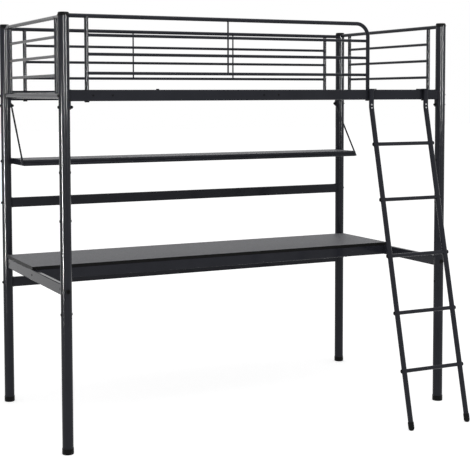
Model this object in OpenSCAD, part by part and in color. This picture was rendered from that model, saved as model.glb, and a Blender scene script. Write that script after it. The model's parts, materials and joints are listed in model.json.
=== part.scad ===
// Loft bed with desk: a bolted frame of round and box section steel tube,
// with a desk and a shelf under the bed and a ladder hooked over the front rail.
// +X runs along the bed, +Y towards its back, +Z up. The origin lies on the floor
// in the middle of the whole object, ladder included.

/* [Bed frame] */
// Distance between the post centres along the bed
post_span_x = 1925; // [1800:1:2100]
// Distance between the post centres across the bed
post_span_y = 932; // [880:1:1200]
// Overall height over the post caps
bed_h = 1872; // [1840:1:2000]
// Depth of the bed rails' underside below the overall height
rail_drop = 372; // [352:1:432]
// Outer diameter of the round posts
post_d = 48; // [42:1:54]
// Wall of the steel tubes
tube_wall = 1.5; // [1:0.1:2.5]
// Height of the rails and stretchers
rail_h = 48; // [42:1:60]
// Thickness of the two bed rails
rail_t = 30; // [26:1:36]
// Thickness of the stretchers, desk rails and desk beams
stretcher_t = 20; // [16:1:26]
// Depth of the joint between lower and upper posts below the bed rail
joint_drop = 38; // [34:1:60]

/* [Guards and end panels] */
// Outer diameter of the guard tubes and their uprights
guard_d = 18; // [14:1:22]
// Outer diameter of the cross bars
bar_d = 13.5; // [10:0.5:16]
// Diameter of the thin solid rods
rod_d = 7.5; // [6:0.5:10]
// Outer diameter of the tube at the foot of each end panel
end_foot_d = 25; // [20:1:30]
// Drop of the front guard's top tube below the overall height
front_guard_drop = 14; // [12:1:30]
// Drop of the back guard's top tube below the overall height
back_guard_drop = 22; // [12:1:40]
// Drop of the end panels' top tubes below the overall height
end_drop = 17; // [12:1:40]
// Spacing of the guards' bars
guard_pitch = 80; // [70:1:90]
// Spacing of the end panels' bars
end_pitch = 82; // [70:1:90]
// Distance of the guards' outer uprights from the post centres, along the bed
guard_upright_in = 100; // [83:0.5:100]
// Width of the ladder's gap, from the front guard's bent end to the post's centre
guard_gap = 423; // [423:0.5:560]
// Centre line radius of the front guard's bend
guard_bend_r = 62; // [45:1:75]
// Distance of the front guard's thin rod from its upright
front_rod_in = 663.5; // [560:0.5:760]
// Distance of the end panels' uprights from the middle of the bed
end_upright_y = 365; // [250:1:400]

/* [Slats] */
// Number of slats
slat_n = 14; // [8:1:18]
// Width of one slat
slat_w = 38; // [25:1:60]
// Height of one slat
slat_h = 14; // [8:1:20]
// Leg of the angle that carries the slats
ledge_w = 20; // [14:1:30]

/* [Desk] */
// Height of the desk top above the floor
desk_z = 739; // [680:1:780]
// Thickness of the desk board
board_t = 15; // [12:1:28]
// Depth of the desk board
desk_depth = 440; // [380:1:500]
// Height of the upper back stretcher's middle
upper_stretcher_z = 996; // [900:1:1060]
// Height of the lower back stretcher's middle
lower_stretcher_z = 600; // [450:1:630]

/* [Shelf] */
// Height of the shelf's top above the floor
shelf_z = 1216; // [1120:1:1300]
// Height of the shelf's front and back rails
shelf_h = 29; // [24:1:40]
// Depth from the back post line to the shelf's front edge
shelf_depth = 216; // [160:1:300]
// Thickness of the shelf board
shelf_board_t = 10; // [6:1:16]
// Diameter of the two hanger rods
hanger_d = 9; // [6:0.5:9]

/* [Ladder] */
// Distance from the guard's bent end to the ladder's nearer stringer, along the bed
ladder_shift = 4.5; // [4:0.5:5]
// Distance between the ladder's stringer centres
ladder_w = 312.5; // [280:0.5:313]
// Outer diameter of the stringers
stringer_d = 24; // [20:1:28]
// Horizontal run of the leaning stringers
ladder_run = 345; // [200:1:450]
// Depth of the stringers' knee below the bed rail's underside
bend_drop = 34; // [20:1:80]
// Number of rungs
rung_n = 5; // [3:1:5]
// Height of the lowest rung
rung_first = 260; // [200:1:300]
// Depth of the highest rung below the stringers' knee
rung_drop = 175.2; // [170:0.1:320]
// Outer diameter of the rungs
rung_d = 18; // [15:1:20]
// Thickness of the ladder's hook plates
hook_t = 4; // [3:0.5:6]
// Reach of the hooks down behind the rail
hook_drop = 18; // [10:1:19]

/* [Caps and bolts] */
// Wall of the post feet around the post
foot_wall = 1.3; // [1:0.1:3]
// Height of the post feet
foot_h = 26; // [15:1:50]
// Diameter of the post caps' flange
cap_flange_d = 52; // [50:1:64]
// Thickness of the post caps' flange
cap_flange_t = 4; // [2:0.5:6]
// Height of the post caps above their flange
cap_dome_h = 11; // [8:1:16]
// Diameter of the bolt shanks
bolt_d = 8; // [6:1:10]
// Diameter of the bolt heads
bolt_head_d = 15; // [13:1:18]
// Height of the domed bolt heads
bolt_head_h = 6; // [4:0.5:8]
// Width and height of the cap nuts inside the posts
nut_w = 12; // [11:1:16]
// Diameter of the desk rails' bolt covers
cover_d = 20; // [16:1:24]

/* [Hidden] */

$fn = 48;
fit = 0.3;          // gap between pieces that are pushed or hooked together
slip = 0.1;         // radial gap of a sleeve or plug in its tube
over = 1;           // how far a cutting shape runs past the face it cuts

steel = [0.16, 0.165, 0.185];
steel_lit = [0.30, 0.31, 0.33];
plastic = [0.05, 0.05, 0.055];
laminate = [0.44, 0.44, 0.45];

// Posts
rail_z = bed_h - rail_drop;
post_r = post_d / 2;
post_bore = post_d - 2 * tube_wall;
post_x = post_span_x / 2;
sides = [-1, 1];
foot_base = 4;
foot_round = 3;
post_top = bed_h - cap_dome_h - cap_flange_t;
joint_z = rail_z - joint_drop;
sleeve_wall = 2;
sleeve_reach = 34;
sleeve_depth = 90;
cap_stem_h = 14;

// Ladder, seen from the side: y and z of the stringers' centre line
stringer_r = stringer_d / 2;
ladder_gap = rail_t / 2 + fit + stringer_r;
bend_z = rail_z - bend_drop;
tilt = atan(ladder_run / bend_z);
foot_cap_r = stringer_r + 2;
foot_cap_z = 12;
foot_cap_h = 26;
foot_y_drop = (bend_z - foot_cap_z) * tan(tilt);

// The box of the whole object is centred on the origin across the bed
bolt_cover_t = 2;
back_reach = post_span_y / 2 + max(cap_flange_d / 2, post_r + bolt_cover_t, post_r + foot_wall);
front_reach = post_span_y / 2 + ladder_gap + foot_y_drop + foot_cap_r;
mid_y = (front_reach - back_reach) / 2;
front_y = mid_y - post_span_y / 2;
back_y = mid_y + post_span_y / 2;
stringer_y = front_y - ladder_gap;

// Rails and guards
rail_mid_z = rail_z + rail_h / 2;
rail_top = rail_z + rail_h;
front_guard_z = bed_h - front_guard_drop;
back_guard_z = bed_h - back_guard_drop;
end_top_z = bed_h - end_drop;
end_foot_z = rail_mid_z;
guard_upright_x = post_x - guard_upright_in;
guard_end_x = post_x - guard_gap;
front_rod_x = front_rod_in - guard_upright_x;
back_rod_x = guard_upright_x / 3;
bars = [1, 2, 3];
saddle_t = 4;
saddle_w = rail_t;
saddle_drop = 35;
saddle_top = 1;
rail_end_x = post_x - post_r - saddle_t;
plug_flange = 2;
plug_h = 5;
button_hole_d = 10;
button_d = 14;
button_h = 4;

// Desk
board_bottom = desk_z - board_t;
beam_mid_z = board_bottom - rail_h / 2;
board_back = back_y - post_r - fit;
board_front = board_back - desk_depth;
beam_front_y = board_front + stretcher_t / 2;
beam_inset = 28;
beam_back_y = board_back - stretcher_t / 2 - beam_inset;
beam_end_x = post_x - stretcher_t / 2;
stretcher_end_x = post_x - post_r - saddle_t;

// Shelf
eye_t = 3;
shelf_mid_z = shelf_z - shelf_h / 2;
shelf_end_x = post_x - post_r - saddle_t - eye_t;
shelf_front_y = back_y - shelf_depth;
shelf_bead_d = shelf_h / 2;
shelf_end_t = 4;

// Bolts: heights above the floor
upper_bolt_z = rail_z + 23;
lower_bolt_z = rail_z - 25;
bolt_hole_d = bolt_d + 2 * slip;
shelf_bolt_z = shelf_mid_z;
post_bolt_zs = [shelf_bolt_z, upper_stretcher_z, lower_stretcher_z];
nut_h = 6;
cap_nut_h = 11;
head_sink = 3;
beam_bolt_l = stretcher_t + tube_wall + nut_h + over;

// Hanger rods of the shelf
eye_r = 12;
eye_neck_w = 10;
eye_neck_l = 24;
rod_start = 18;
hanger_gap = 1;
hanger_pin_l = 12;

// Ladder details
hook_w = 18;
hook_inset = 6;
hook_pad = 14;
rung_over = 4;
rung_cap_h = 3;

// ---------------------------------------------------------------- helpers

// A tube or a solid bar along Z, Y or X, centred on the origin
module pipe_z(l, d, wall = tube_wall) {
    difference() {
        cylinder(h = l, d = d, center = true);
        cylinder(h = l + 2 * over, d = d - 2 * wall, center = true);
    }
}

module turn_y() rotate([90, 0, 0]) children();
module turn_x() rotate([0, 90, 0]) children();

// A box section along X with open ends, centred on the origin
module box_x(l, t, h) {
    difference() {
        cube([l, t, h], center = true);
        cube([l + 2 * over, t - 2 * tube_wall, h - 2 * tube_wall], center = true);
    }
}

module box_y(l, t, h) rotate([0, 0, 90]) box_x(l, t, h);

// Puts a copy at each of the four posts
module at_posts(xs = sides, ys = [front_y, back_y]) {
    for (sx = xs, y = ys) translate([sx * post_x, y, 0]) children();
}

// The space that a whole post takes, with the flange of its cap
module post_space(grow = 0) {
    cylinder(h = bed_h, r = post_r + grow);
    translate([0, 0, post_top]) cylinder(h = cap_flange_t, d = cap_flange_d);
}

// A hole through a post along the bed
module hole_x(z, d = bolt_hole_d) {
    translate([0, 0, z]) turn_x() cylinder(h = post_d + 2 * over, d = d, center = true);
}

// A hole through a post across the bed
module hole_y(z) {
    translate([0, 0, z]) turn_y() cylinder(h = post_d + 2 * over, d = bolt_hole_d, center = true);
}

// ------------------------------------------------------------------ posts

module lower_post(sx, y) {
    color(steel) translate([sx * post_x, y, 0]) difference() {
        translate([0, 0, foot_base]) cylinder(h = joint_z - foot_base, d = post_d);
        cylinder(h = joint_z + over, d = post_bore);
        for (z = post_bolt_zs) hole_x(z);
        hole_y(beam_mid_z);
    }
}

module upper_post(sx, y) {
    color(steel) translate([sx * post_x, y, 0]) difference() {
        translate([0, 0, joint_z]) cylinder(h = post_top - joint_z, d = post_d);
        translate([0, 0, joint_z - over]) cylinder(h = post_top - joint_z + 2 * over, d = post_bore);
        hole_x(upper_bolt_z);
        hole_x(lower_bolt_z);
    }
}

module lower_post_front_left() lower_post(-1, front_y);
module lower_post_front_right() lower_post(1, front_y);
module lower_post_back_left() lower_post(-1, back_y);
module lower_post_back_right() lower_post(1, back_y);
module upper_post_front_left() upper_post(-1, front_y);
module upper_post_front_right() upper_post(1, front_y);
module upper_post_back_left() upper_post(-1, back_y);
module upper_post_back_right() upper_post(1, back_y);

// Inner sleeves that join the lower posts to the upper ones
module post_sleeves() {
    sleeve_d = post_bore - 2 * slip;
    color(steel) at_posts() difference() {
        translate([0, 0, joint_z - sleeve_depth]) cylinder(h = sleeve_depth + sleeve_reach, d = sleeve_d);
        translate([0, 0, joint_z - sleeve_depth - over])
            cylinder(h = sleeve_depth + sleeve_reach + 2 * over, d = sleeve_d - 2 * sleeve_wall);
        for (z = concat(post_bolt_zs, lower_bolt_z)) hole_x(z);
    }
}

module post_feet() {
    foot_r = post_r + foot_wall;
    color(plastic) at_posts() rotate_extrude() difference() {
        union() {
            translate([0, foot_round]) square([foot_r, foot_h - foot_round]);
            square([foot_r - foot_round, foot_h]);
            translate([foot_r - foot_round, foot_round]) circle(r = foot_round);
        }
        translate([0, foot_base]) square([post_r, foot_h]);
    }
}

module post_caps() {
    cap_round = 5;
    dome_r = post_r - 0.5;
    stem_r = post_bore / 2 - slip;
    color(plastic) at_posts() translate([0, 0, post_top]) rotate_extrude() {
        translate([0, -cap_stem_h]) square([stem_r, cap_stem_h]);
        square([cap_flange_d / 2, cap_flange_t]);
        square([dome_r, cap_flange_t + cap_dome_h - cap_round]);
        square([dome_r - cap_round, cap_flange_t + cap_dome_h]);
        intersection() {
            translate([dome_r - cap_round, cap_flange_t + cap_dome_h - cap_round]) circle(r = cap_round);
            square([dome_r, cap_flange_t + cap_dome_h]);
        }
    }
}

// ------------------------------------------------------------- end panels

module between_posts_y(sx) {
    difference() {
        translate([sx * post_x, mid_y, 0]) children();
        at_posts([sx]) post_space();
    }
}

module end_top_tube(sx) {
    color(steel_lit) between_posts_y(sx)
        translate([0, 0, end_top_z]) turn_y() pipe_z(post_span_y, guard_d);
}

module end_top_tube_left() end_top_tube(-1);
module end_top_tube_right() end_top_tube(1);

module end_foot_tubes() {
    color(steel_lit) for (sx = sides) between_posts_y(sx)
        translate([0, 0, end_foot_z]) turn_y() pipe_z(post_span_y, end_foot_d);
}

module end_uprights() {
    color(steel) for (sx = sides, sy = sides) difference() {
        translate([sx * post_x, mid_y + sy * end_upright_y, (end_top_z + end_foot_z) / 2])
            rotate([0, 0, 90]) pipe_z(end_top_z - end_foot_z, guard_d);
        translate([sx * post_x, mid_y, end_top_z]) turn_y()
            cylinder(h = post_span_y, d = guard_d, center = true);
        translate([sx * post_x, mid_y, end_foot_z]) turn_y()
            cylinder(h = post_span_y, d = end_foot_d, center = true);
    }
}

module end_bars(sx) {
    color(steel_lit) difference() {
        for (k = bars) translate([sx * post_x, mid_y, end_top_z - k * end_pitch])
            turn_y() pipe_z(2 * end_upright_y, bar_d);
        for (sy = sides) translate([sx * post_x, mid_y + sy * end_upright_y, 0])
            cylinder(h = bed_h, d = guard_d);
    }
}

module end_bars_left() end_bars(-1);
module end_bars_right() end_bars(1);

// -------------------------------------------------------------- bed rails

// Holes that let the guards' uprights through a bed rail; a button closes the small one on top
module bed_rail(y, hole_xs, button_xs = []) {
    color(steel) translate([0, y, 0]) difference() {
        translate([0, 0, rail_mid_z]) box_x(2 * (rail_end_x + saddle_t), rail_t, rail_h);
        for (x = hole_xs) translate([x, 0, rail_z - over])
            cylinder(h = rail_h + 2 * over, d = guard_d + 2 * slip);
        for (x = button_xs) translate([x, 0, rail_mid_z])
            cylinder(h = rail_h / 2 + over, d = button_hole_d);
        for (sx = sides) translate([sx * post_x, 0, 0]) cylinder(h = bed_h, r = post_r + saddle_t);
    }
}

module front_rail() bed_rail(front_y, [-guard_upright_x, guard_end_x, guard_upright_x], [-guard_end_x]);
module back_rail() bed_rail(back_y, [-guard_upright_x, guard_upright_x]);

// A curved plate that seats a rail's end on its post
module saddle(sx, y, z_low, z_high, w) {
    translate([sx * post_x, y, 0]) intersection() {
        translate([0, 0, z_low]) difference() {
            cylinder(h = z_high - z_low, r = post_r + saddle_t);
            translate([0, 0, -over]) cylinder(h = z_high - z_low + 2 * over, r = post_r);
        }
        translate([-sx * post_r, 0, (z_low + z_high) / 2]) cube([post_d, w, z_high - z_low], center = true);
    }
}

module rail_saddles() {
    color(steel) for (sx = sides, y = [front_y, back_y]) difference() {
        saddle(sx, y, rail_z - saddle_drop, rail_top + saddle_top, saddle_w);
        translate([sx * post_x, y, 0]) {
            hole_x_long(upper_bolt_z);
            hole_x_long(lower_bolt_z);
        }
    }
}

module hole_x_long(z) {
    translate([0, 0, z]) turn_x() cylinder(h = 2 * post_d, d = bolt_hole_d, center = true);
}

// Round heads of the rivets that hold the slat ledge to the front rail
module rail_rivets() {
    rivet_shares = [-0.872, -0.781, -0.026, 0.052];
    rivet_d = 7;
    rivet_h = 1.5;
    color(plastic) for (share = rivet_shares)
        translate([share * post_x, front_y - rail_t / 2 - rivet_h, rail_mid_z]) rotate([-90, 0, 0])
            cylinder(h = rivet_h, d = rivet_d);
}

// ----------------------------------------------------------------- guards

module front_guard_tube() {
    run = guard_end_x - guard_bend_r + post_x;
    drop = front_guard_z - guard_bend_r - rail_z;
    bend_x = guard_end_x - guard_bend_r;
    color(steel) difference() {
        front_guard_path(guard_d, run, drop, bend_x);
        front_guard_path(guard_d - 2 * tube_wall, run, drop + over, bend_x);
        translate([-post_x, front_y, 0]) post_space();
    }
}

// The front guard's centre line: from the post to the bend, round it and down
module front_guard_path(d, run, drop, bend_x) {
    translate([bend_x - run, front_y, front_guard_z]) turn_x() cylinder(h = run, d = d);
    translate([bend_x, front_y, front_guard_z - guard_bend_r]) rotate([90, 0, 0])
        rotate_extrude(angle = 90) translate([guard_bend_r, 0]) circle(d = d);
    translate([guard_end_x, front_y, front_guard_z - guard_bend_r - drop]) cylinder(h = drop, d = d);
}

module front_guard_upright() {
    color(steel) difference() {
        translate([-guard_upright_x, front_y, (rail_z + front_guard_z) / 2])
            pipe_z(front_guard_z - rail_z, guard_d);
        guard_tube_space(front_y, front_guard_z);
    }
}

// The space that a guard's top tube takes
module guard_tube_space(y, z) {
    translate([0, y, z]) turn_x() cylinder(h = post_span_x, d = guard_d, center = true);
}

module upright_space(x, y) {
    translate([x, y, rail_z]) cylinder(h = bed_h, d = guard_d);
}

module front_guard_bars() {
    low_x = -guard_upright_x;
    color(steel) difference() {
        for (k = bars) translate([(low_x + guard_end_x) / 2, front_y, front_guard_z - k * guard_pitch])
            turn_x() pipe_z(guard_end_x - low_x, bar_d);
        upright_space(low_x, front_y);
        upright_space(guard_end_x, front_y);
        rod_space(front_rod_x, front_y, front_guard_z);
    }
}

// A thin rod runs from the top tube through two bars and ends on the third
module guard_rod(x, y, z) {
    difference() {
        rod_space(x, y, z);
        guard_tube_space(y, z);
        translate([x, y, z - 3 * guard_pitch]) turn_x() cylinder(h = guard_d, d = bar_d, center = true);
    }
}

module rod_space(x, y, z) {
    translate([x, y, z - 3 * guard_pitch + bar_d / 2 - rod_d / 4])
        cylinder(h = 3 * guard_pitch - bar_d / 2, d = rod_d);
}

module front_guard_rod() color(steel) guard_rod(front_rod_x, front_y, front_guard_z);

module back_guard_tube() {
    color(steel) difference() {
        translate([0, back_y, back_guard_z]) turn_x() pipe_z(post_span_x, guard_d);
        at_posts(sides, [back_y]) post_space();
    }
}

module back_guard_uprights() {
    color(steel) for (sx = sides) difference() {
        translate([sx * guard_upright_x, back_y, (rail_z + back_guard_z) / 2])
            pipe_z(back_guard_z - rail_z, guard_d);
        guard_tube_space(back_y, back_guard_z);
    }
}

module back_guard_bars() {
    color(steel) difference() {
        for (k = bars) translate([0, back_y, back_guard_z - k * guard_pitch])
            turn_x() pipe_z(2 * guard_upright_x, bar_d);
        for (sx = sides) upright_space(sx * guard_upright_x, back_y);
        for (sx = sides) rod_space(sx * back_rod_x, back_y, back_guard_z);
    }
}

module back_guard_rods() {
    color(steel) for (sx = sides) guard_rod(sx * back_rod_x, back_y, back_guard_z);
}

// Plug with a round head and a stem that is pushed into a tube of the given bore
module end_plug(bore, head_d, head_h, stem) {
    stem_d = bore - 2 * slip;
    rotate_extrude() {
        translate([0, -head_h]) square([head_d / 2 - plug_flange, head_h]);
        translate([0, -head_h + plug_flange]) square([head_d / 2, head_h - plug_flange]);
        translate([head_d / 2 - plug_flange, -head_h + plug_flange]) circle(r = plug_flange, $fn = 24);
        square([stem_d / 2, stem]);
    }
}

// Plugs in the lower ends of the guards' uprights, under the rails
module guard_end_plugs() {
    bore = guard_d - 2 * tube_wall;
    places = [[-guard_upright_x, front_y], [guard_end_x, front_y],
              [-guard_upright_x, back_y], [guard_upright_x, back_y]];
    color(plastic) for (p = places) translate([p[0], p[1], rail_z]) end_plug(bore, guard_d + 3, plug_h, 12);
}

// Plugs in the holes of the front rail that the guard doesn't use: one from each side
// where its upright would pass, and a button in the small hole
module rail_hole_plugs() {
    stem = 8;
    color(plastic) {
        for (up = [0, 1]) translate([guard_upright_x, front_y, rail_z + up * rail_h])
            rotate([180 * up, 0, 0]) end_plug(guard_d + 2 * slip, guard_d + 4, plug_h, stem);
        translate([-guard_end_x, front_y, rail_top]) rotate([180, 0, 0])
            end_plug(button_hole_d, button_d, button_h, stem);
    }
}

// ------------------------------------------------------------------ slats

slat_z = rail_z + 14;
slat_pitch = 2 * (post_x - post_r - 2 * saddle_t - slat_w) / (slat_n - 1);
ledge_t = 2;

// Angles welded to the inner faces of the bed rails
module slat_ledges() {
    ledge_l = 2 * (rail_end_x - saddle_t);
    color(steel) for (sy = sides) translate([0, mid_y + sy * (post_span_y - rail_t) / 2, slat_z]) {
        translate([-ledge_l / 2, min(0, -sy * ledge_w), -ledge_t]) cube([ledge_l, ledge_w, ledge_t]);
        translate([-ledge_l / 2, min(0, -sy * ledge_t), -slat_h]) cube([ledge_l, ledge_t, slat_h - ledge_t]);
    }
}

// Pressed steel slats, open below
module slats() {
    slat_l = post_span_y - rail_t - 2 * fit;
    first_x = -slat_pitch * (slat_n - 1) / 2;
    slat_wall = 1.2;
    color(steel) for (k = [0:slat_n - 1])
        translate([first_x + k * slat_pitch - slat_w / 2, mid_y - slat_l / 2, slat_z]) difference() {
            cube([slat_w, slat_l, slat_h]);
            translate([slat_wall, -over, -over])
                cube([slat_w - 2 * slat_wall, slat_l + 2 * over, slat_h - slat_wall + over]);
        }
}

// ------------------------------------------------------------- stretchers

module back_stretcher(z) {
    color(steel) difference() {
        translate([0, back_y, z]) box_x(2 * stretcher_end_x + 2 * saddle_t, stretcher_t, rail_h);
        at_posts(sides, [back_y]) cylinder(h = bed_h, r = post_r + saddle_t);
    }
}

module upper_back_stretcher() back_stretcher(upper_stretcher_z);
module lower_back_stretcher() back_stretcher(lower_stretcher_z);

module stretcher_saddles() {
    color(steel) for (sx = sides, z = [upper_stretcher_z, lower_stretcher_z]) difference() {
        saddle(sx, back_y, z - rail_h / 2, z + rail_h / 2, stretcher_t);
        translate([sx * post_x, back_y, 0]) hole_x_long(z);
    }
}

// ------------------------------------------------------------------- desk

module desk_side_rails() {
    color(steel_lit) for (sx = sides) difference() {
        translate([sx * post_x, mid_y, beam_mid_z]) box_y(post_span_y, stretcher_t, rail_h);
        at_posts([sx]) cylinder(h = bed_h, r = post_r);
        for (y = [beam_front_y, beam_back_y]) translate([sx * post_x, y, beam_mid_z])
            turn_x() cylinder(h = stretcher_t + 2 * over, d = bolt_hole_d, center = true);
    }
}

// A closed box beam with bolt holes in its ends and screw holes through it
module desk_beam(y) {
    inner_t = stretcher_t - 2 * tube_wall;
    inner_h = rail_h - 2 * tube_wall;
    color(steel) translate([0, y, beam_mid_z]) difference() {
        cube([2 * beam_end_x, stretcher_t, rail_h], center = true);
        cube([2 * (beam_end_x - tube_wall), inner_t, inner_h], center = true);
        turn_x() cylinder(h = 2 * beam_end_x + 2 * over, d = bolt_hole_d, center = true);
        for (x = desk_screw_xs) translate([x, 0, 0])
            cylinder(h = rail_h + 2 * over, d = screw_d + 2 * slip, center = true);
    }
}

module desk_front_beam() desk_beam(beam_front_y);
module desk_back_beam() desk_beam(beam_back_y);

module desk_board() {
    color(laminate) difference() {
        translate([-post_x - stretcher_t / 2, board_front, board_bottom])
            cube([post_span_x + stretcher_t, desk_depth, board_t]);
        for (x = desk_screw_xs, y = [beam_front_y, beam_back_y]) translate([x, y, board_bottom - over])
            cylinder(h = over + screw_bite + slip, d = screw_d);
    }
}

// Screws from below through the beams into the board
desk_screw_xs = [-0.75 * post_x, 0, 0.75 * post_x];
screw_d = 4;
screw_bite = 10;

module desk_screws() {
    screw_head_d = 9;
    screw_head_h = 2;
    head_z = board_bottom - rail_h - screw_head_h;
    color(plastic) for (x = desk_screw_xs, y = [beam_front_y, beam_back_y]) translate([x, y, head_z]) {
        cylinder(h = screw_head_h, d = screw_head_d);
        cylinder(h = screw_head_h + rail_h + screw_bite, d = screw_d);
    }
}

// ------------------------------------------------------------------ shelf

// A front rail rolled into two round beads, one over the other
module shelf_bead_outline(d) {
    for (up = sides) translate([0, up * shelf_bead_d / 2]) circle(d = d);
    square([d / 2, shelf_bead_d], center = true);
}

module shelf_front_rail() {
    color(steel) translate([-shelf_end_x, shelf_front_y + shelf_bead_d / 2, shelf_mid_z])
        rotate([90, 0, 90]) linear_extrude(2 * shelf_end_x) difference() {
            shelf_bead_outline(shelf_bead_d);
            shelf_bead_outline(shelf_bead_d - 2 * tube_wall);
        }
}

module shelf_back_rail() {
    color(steel) difference() {
        translate([0, back_y, shelf_mid_z]) box_x(post_span_x, stretcher_t, shelf_h);
        at_posts(sides, [back_y]) cylinder(h = bed_h, r = post_r);
    }
}

// Two end bars and the cross bars under the board
module shelf_bars() {
    bar_y = shelf_front_y + shelf_bead_d;
    bar_l = back_y - stretcher_t / 2 - bar_y;
    cross_h = shelf_h - shelf_board_t;
    cross_xs = [-0.5 * shelf_end_x, 0, 0.5 * shelf_end_x];
    color(steel) {
        for (sx = sides) translate([sx * (shelf_end_x - shelf_end_t / 2), bar_y + bar_l / 2, shelf_mid_z])
            cube([shelf_end_t, bar_l, shelf_h], center = true);
        for (x = cross_xs) translate([x - shelf_end_t / 2, bar_y, shelf_z - shelf_h])
            cube([shelf_end_t, bar_l, cross_h]);
    }
}

module shelf_board() {
    board_x = shelf_end_x - shelf_end_t - fit;
    board_y = shelf_front_y + shelf_bead_d + fit;
    color(laminate) translate([-board_x, board_y, shelf_z - shelf_board_t])
        cube([2 * board_x, back_y - stretcher_t / 2 - fit - board_y, shelf_board_t]);
}

// Rods that hang the shelf's front from the bolts under the bed rail: an eye at the
// top, and at the bottom a pin that is pushed into the front rail's lower bead
module shelf_hangers() {
    low = [shelf_end_x + hanger_gap + hanger_d / 2, shelf_front_y + shelf_bead_d / 2,
           shelf_mid_z - shelf_bead_d / 2];
    eye = [shelf_end_x + eye_t / 2, back_y, lower_bolt_z];
    rise = eye - low;
    lean = atan(rise[1] / rise[2]);
    rod_foot = hanger_d / 2;
    pin_d = shelf_bead_d - 2 * tube_wall - 2 * slip;
    color(steel) for (k = [0, 1]) mirror([k, 0, 0]) {
        translate(low) {
            rotate([0, acos(rise[2] / norm(rise)), atan2(rise[1], rise[0])]) translate([0, 0, -rod_foot])
                cylinder(h = norm(rise) - rod_start + rod_foot, d = hanger_d);
            rotate([0, -90, 0]) cylinder(h = hanger_d / 2 + hanger_gap + hanger_pin_l, d = pin_d);
        }
        translate(eye) difference() {
            union() {
                turn_x() cylinder(h = eye_t, r = eye_r, center = true);
                rotate([-lean, 0, 0]) translate([0, 0, -eye_neck_l / 2])
                    cube([eye_t, eye_neck_w, eye_neck_l], center = true);
            }
            turn_x() cylinder(h = eye_t + 2 * over, d = bolt_hole_d, center = true);
        }
    }
}

// ------------------------------------------------------------------ bolts

// A low round head on a flat side, rising along +Z from the origin
module dome_head(d, h) {
    ball_r = (d * d / 4 + h * h) / (2 * h);
    rotate_extrude() intersection() {
        translate([0, h - ball_r]) circle(r = ball_r);
        square([d / 2, h]);
    }
}

// Turns +Z to point along +X or -X
module face_x(sx) rotate([0, 90 * sx, 0]) children();

// Turns +Z to point along +Y or -Y
module face_y(sy) rotate([-90 * sy, 0, 0]) children();

// A bolt through a post: its head is seated on the post, its shank reaches the nut
module post_bolt(reach) {
    seat = post_r - head_sink;
    difference() {
        translate([0, 0, seat]) {
            cylinder(h = head_sink, d = bolt_head_d);
            translate([0, 0, head_sink]) dome_head(bolt_head_d, bolt_head_h);
        }
        rotate([0, 90, 0]) cylinder(h = post_d, r = post_r, center = true);
    }
    translate([0, 0, -post_r - reach]) cylinder(h = post_d + reach + over, d = bolt_d);
}

module bed_rail_bolts() {
    reach = saddle_t + nut_h + over;
    color(plastic) for (sx = sides, y = [front_y, back_y], z = [upper_bolt_z, lower_bolt_z])
        translate([sx * post_x, y, z]) face_x(sx) post_bolt(reach);
}

// Hexagon nut whose seat follows the saddle or post behind it
module seated_nut(seat_r, h, w = nut_w) {
    difference() {
        translate([0, 0, seat_r - head_sink]) cylinder(h = head_sink + h, d = w / cos(30), $fn = 6);
        rotate([0, 90, 0]) cylinder(h = post_d, r = seat_r, center = true);
        cylinder(h = seat_r + h + over, d = bolt_hole_d);
    }
}

// Nuts inside the ends of the bed rails
module bed_rail_nuts() {
    color(steel) for (sx = sides, y = [front_y, back_y])
        translate([sx * post_x, y, upper_bolt_z]) face_x(-sx) seated_nut(post_r + saddle_t, nut_h);
}

// Domed nuts on the inner side of the posts, under the bed rails
module post_cap_nuts() {
    color(plastic) for (sx = sides, y = [front_y, back_y]) translate([sx * post_x, y, lower_bolt_z])
        face_x(-sx) {
            lift = (y == back_y) ? eye_t : 0;
            seat = post_r + saddle_t + lift;
            difference() {
                translate([0, 0, seat]) union() {
                    cylinder(h = nut_h, d = nut_w / cos(30), $fn = 6);
                    translate([0, 0, nut_h]) dome_head(nut_w, cap_nut_h - nut_h);
                }
                cylinder(h = post_r + saddle_t + nut_h + over + slip, d = bolt_hole_d);
            }
        }
}

// Bolts through the back posts into the stretchers and the shelf's back rail
module stretcher_bolts() {
    reach = nut_h + over;
    color(plastic) for (sx = sides, z = post_bolt_zs) translate([sx * post_x, back_y, z])
        face_x(sx) post_bolt(reach + (z == shelf_bolt_z ? 0 : saddle_t));
}

module stretcher_nuts() {
    color(steel) for (sx = sides, z = post_bolt_zs) translate([sx * post_x, back_y, z])
        face_x(-sx) seated_nut(post_r + (z == shelf_bolt_z ? 0 : saddle_t), nut_h);
}

// Plugs in the front posts' unused holes, on both sides of the post
module post_hole_plugs() {
    plug_d = 12;
    plug_rise = 1.5;
    color(plastic) for (sx = sides, side = sides, z = post_bolt_zs) translate([sx * post_x, front_y, z])
        face_x(side) {
            difference() {
                translate([0, 0, post_r - head_sink]) cylinder(h = head_sink + plug_rise, d = plug_d);
                rotate([0, 90, 0]) cylinder(h = post_d, r = post_r, center = true);
            }
            translate([0, 0, post_r - 2 * tube_wall]) cylinder(h = 2 * tube_wall + plug_rise / 2, d = bolt_d);
        }
}

// Bolts through the posts into the desk's side rails, under round covers
module desk_rail_bolts() {
    recess_d = 9;
    recess_h = 1.5;
    color(plastic) for (sx = sides, sy = sides)
        translate([sx * post_x, mid_y + sy * post_span_y / 2, beam_mid_z]) face_y(sy) {
            difference() {
                translate([0, 0, post_r - head_sink]) cylinder(h = head_sink + bolt_cover_t, d = cover_d);
                rotate([0, 90, 90]) cylinder(h = post_d, r = post_r, center = true);
                translate([0, 0, post_r + bolt_cover_t - recess_h])
                    cylinder(h = recess_h + over, d = recess_d);
            }
            translate([0, 0, -post_r - nut_h - over]) cylinder(h = post_d + nut_h + over, d = bolt_d);
        }
}

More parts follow.
